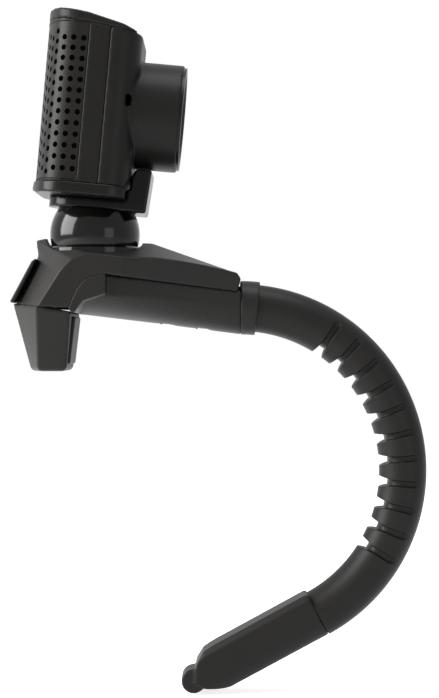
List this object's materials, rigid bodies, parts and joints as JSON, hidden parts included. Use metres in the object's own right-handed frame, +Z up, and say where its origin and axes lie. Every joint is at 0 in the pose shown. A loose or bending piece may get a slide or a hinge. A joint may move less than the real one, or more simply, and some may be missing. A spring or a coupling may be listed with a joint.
{
  "type": "webcam with clip and flexible arm",
  "caption": "Clip-on webcam: perforated camera head on a ball joint, hooked screen clip and a long notched bendable arm that ends in a foot.",
  "frame": {"origin": "inner corner of the hook, where the top edge of a screen sits, on the part's middle plane", "axes": "+X the way the lens looks, away from the lip; +Y to the left of the lens; +Z up"},
  "size_m": [0.1167, 0.0356, 0.1903],
  "materials": {
    "cover_plastic": "fine satin moulding",
    "lip_rubber": "matte soft moulding",
    "arm_rubber": "matte rubber",
    "arm_core_plastic": "moulded links",
    "gloss_black": "polished",
    "cup_plastic": "moulded",
    "shell_plastic": "fine satin moulding",
    "mesh_cloth": "woven dust mesh",
    "steel": "zinc plated",
    "optical_glass": "coated",
    "board_green": "solder mask",
    "chip": "epoxy and silicon",
    "grommet_rubber": "moulded"
  },
  "bodies": {
    "clip_base": {"base_cover": "cover_plastic", "base_body": "cover_plastic", "base_screws": "steel", "front_wedge": "cover_plastic", "lip_tip": "lip_rubber", "lip_pad": "lip_rubber", "ball_bezel": "gloss_black", "collar": "cover_plastic", "arm_root_core": "arm_core_plastic", "arm_root_sleeve": "arm_rubber"},
    "ball_cup": {"friction_cup": "cup_plastic", "tension_screw": "steel", "disc_springs": "steel", "tension_nut": "steel"},
    "ball_joint": {"ball": "gloss_black", "swivel_pin": "steel", "swivel_washer": "steel", "swivel_nut": "steel"},
    "head": {"rear_shell": "shell_plastic", "front_shell": "shell_plastic", "top_cap": "shell_plastic", "bottom_rim": "gloss_black", "neck_block": "gloss_black", "cable_grommet": "grommet_rubber", "grille_cloth": "mesh_cloth", "grille_panel": "shell_plastic", "lens_holder": "cup_plastic", "ir_filter": "optical_glass", "image_sensor": "chip", "sensor_board": "board_green", "main_board": "board_green", "microphone": "steel", "board_screws": "steel"},
    "focus_group": {"focus_ring": "gloss_black", "lens_cell": "cup_plastic", "front_lens": "optical_glass", "rear_lens": "optical_glass"},
    "arm_01": {"arm_sleeve_01": "arm_rubber", "arm_core_01": "arm_core_plastic"},
    "arm_02": {"arm_sleeve_02": "arm_rubber", "arm_core_02": "arm_core_plastic"},
    "arm_03": {"arm_sleeve_03": "arm_rubber", "arm_core_03": "arm_core_plastic"},
    "arm_04": {"arm_sleeve_04": "arm_rubber", "arm_core_04": "arm_core_plastic"},
    "arm_05": {"arm_sleeve_05": "arm_rubber", "arm_core_05": "arm_core_plastic"},
    "arm_06": {"arm_sleeve_06": "arm_rubber", "arm_core_06": "arm_core_plastic"},
    "arm_07": {"arm_sleeve_07": "arm_rubber", "arm_core_07": "arm_core_plastic"},
    "arm_08": {"arm_sleeve_08": "arm_rubber", "arm_core_08": "arm_core_plastic"},
    "arm_09": {"arm_sleeve_09": "arm_rubber", "arm_core_09": "arm_core_plastic"},
    "arm_10": {"arm_sleeve_10": "arm_rubber", "arm_core_10": "arm_core_plastic"},
    "arm_tip": {"arm_tip_sleeve": "arm_rubber", "arm_tip_core": "arm_core_plastic", "foot": "arm_rubber"}
  },
  "joints": [
    {"name": "cup_swivel", "type": "hinge", "parent": "clip_base", "child": "ball_cup", "pos_m": [0.0053, 0, 0.0224], "axis": [0, 0, 1], "range_deg": [-90, 90]},
    {"name": "ball_tilt", "type": "hinge", "parent": "ball_cup", "child": "ball_joint", "pos_m": [0.0053, 0, 0.0224], "axis": [0, 1, 0], "range_deg": [-22, 22]},
    {"name": "head_pan", "type": "hinge", "parent": "ball_joint", "child": "head", "pos_m": [0.0053, 0, 0.0224], "axis": [0.0889, 0, 0.996], "range_deg": [-180, 180]},
    {"name": "focus_turn", "type": "hinge", "parent": "head", "child": "focus_group", "pos_m": [0.00836, 0, 0.05666], "axis": [0.996, 0, -0.0889], "range_deg": [-135, 135]},
    {"name": "arm_bend_01", "type": "hinge", "parent": "clip_base", "child": "arm_01", "pos_m": [0.07263, 0, -0.0039], "axis": [0, 1, 0], "range_deg": [-10, 2]},
    {"name": "arm_bend_02", "type": "hinge", "parent": "arm_01", "child": "arm_02", "pos_m": [0.07838, 0, -0.00837], "axis": [0, 1, 0], "range_deg": [-10, 2]},
    {"name": "arm_bend_03", "type": "hinge", "parent": "arm_02", "child": "arm_03", "pos_m": [0.08338, 0, -0.01364], "axis": [0, 1, 0], "range_deg": [-10, 2]},
    {"name": "arm_bend_04", "type": "hinge", "parent": "arm_03", "child": "arm_04", "pos_m": [0.08753, 0, -0.01962], "axis": [0, 1, 0], "range_deg": [-10, 2]},
    {"name": "arm_bend_05", "type": "hinge", "parent": "arm_04", "child": "arm_05", "pos_m": [0.09073, 0, -0.02615], "axis": [0, 1, 0], "range_deg": [-10, 2]},
    {"name": "arm_bend_06", "type": "hinge", "parent": "arm_05", "child": "arm_06", "pos_m": [0.0929, 0, -0.03309], "axis": [0, 1, 0], "range_deg": [-10, 2]},
    {"name": "arm_bend_07", "type": "hinge", "parent": "arm_06", "child": "arm_07", "pos_m": [0.094, 0, -0.04028], "axis": [0, 1, 0], "range_deg": [-10, 2]},
    {"name": "arm_bend_08", "type": "hinge", "parent": "arm_07", "child": "arm_08", "pos_m": [0.094, 0, -0.04755], "axis": [0, 1, 0], "range_deg": [-10, 2]},
    {"name": "arm_bend_09", "type": "hinge", "parent": "arm_08", "child": "arm_09", "pos_m": [0.09291, 0, -0.05474], "axis": [0, 1, 0], "range_deg": [-10, 2]},
    {"name": "arm_bend_10", "type": "hinge", "parent": "arm_09", "child": "arm_10", "pos_m": [0.09074, 0, -0.06169], "axis": [0, 1, 0], "range_deg": [-10, 2]},
    {"name": "arm_bend_11", "type": "hinge", "parent": "arm_10", "child": "arm_tip", "pos_m": [0.08754, 0, -0.06822], "axis": [0, 1, 0], "range_deg": [-10, 2]}
  ],
  "couplings": [
    {"joint": "arm_bend_02", "follows": "arm_bend_01", "ratio": 1},
    {"joint": "arm_bend_03", "follows": "arm_bend_01", "ratio": 1},
    {"joint": "arm_bend_04", "follows": "arm_bend_01", "ratio": 1},
    {"joint": "arm_bend_05", "follows": "arm_bend_01", "ratio": 1},
    {"joint": "arm_bend_06", "follows": "arm_bend_01", "ratio": 1},
    {"joint": "arm_bend_07", "follows": "arm_bend_01", "ratio": 1},
    {"joint": "arm_bend_08", "follows": "arm_bend_01", "ratio": 1},
    {"joint": "arm_bend_09", "follows": "arm_bend_01", "ratio": 1},
    {"joint": "arm_bend_10", "follows": "arm_bend_01", "ratio": 1},
    {"joint": "arm_bend_11", "follows": "arm_bend_01", "ratio": 1}
  ]
}
